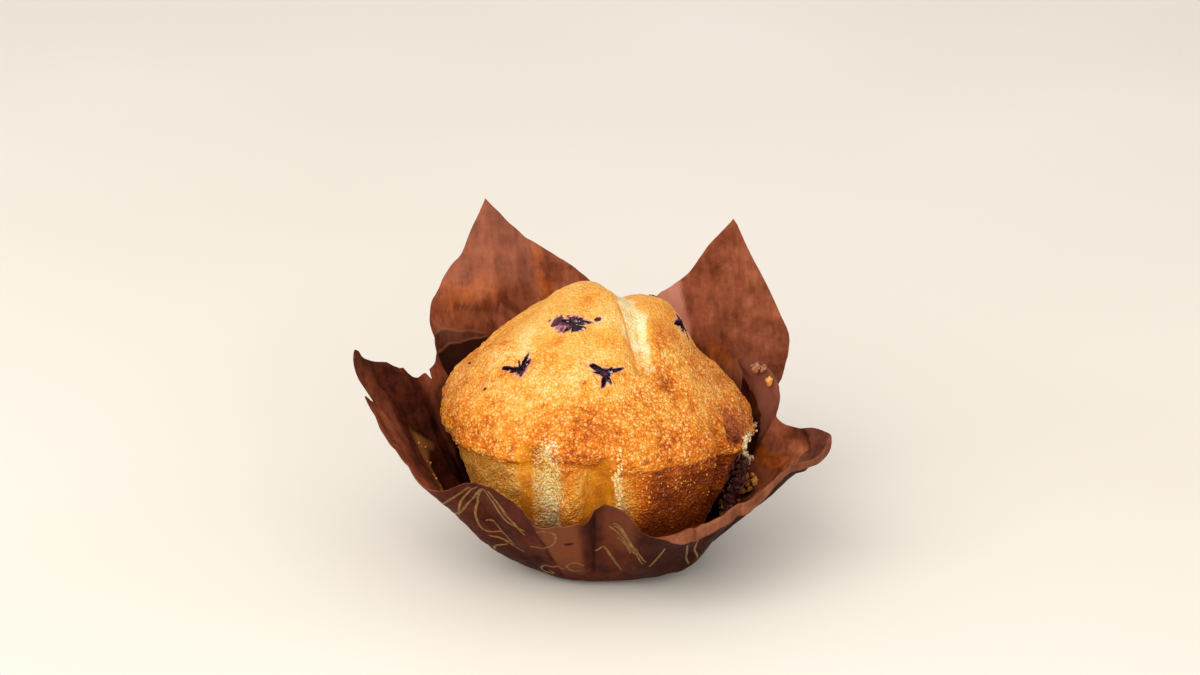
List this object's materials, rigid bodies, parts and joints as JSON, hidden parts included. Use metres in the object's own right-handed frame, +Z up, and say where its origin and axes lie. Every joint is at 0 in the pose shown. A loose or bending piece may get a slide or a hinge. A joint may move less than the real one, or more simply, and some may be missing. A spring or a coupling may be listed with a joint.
{
  "type": "muffin in a paper case",
  "caption": "Domed berry muffin with a cracked top and burst berries, standing in an opened tulip-shaped paper case.",
  "frame": {"origin": "centre of the case's flat base, on the surface it stands on", "axes": "+Z up, front toward -Y, +X to the right seen from the front"},
  "size_m": [0.1197, 0.0918, 0.0819],
  "materials": {
    "muffin": "baked crumb with a golden granular crust",
    "paper_case": "brown greaseproof baking paper with thin gold swirls on the outside",
    "berry": "wet glossy dark purple skin"
  },
  "bodies": {
    "root": {"muffin": "muffin", "paper_case": "paper_case", "berry_1": "berry", "berry_2": "berry", "berry_3": "berry", "berry_4": "berry"}
  },
  "joints": []
}
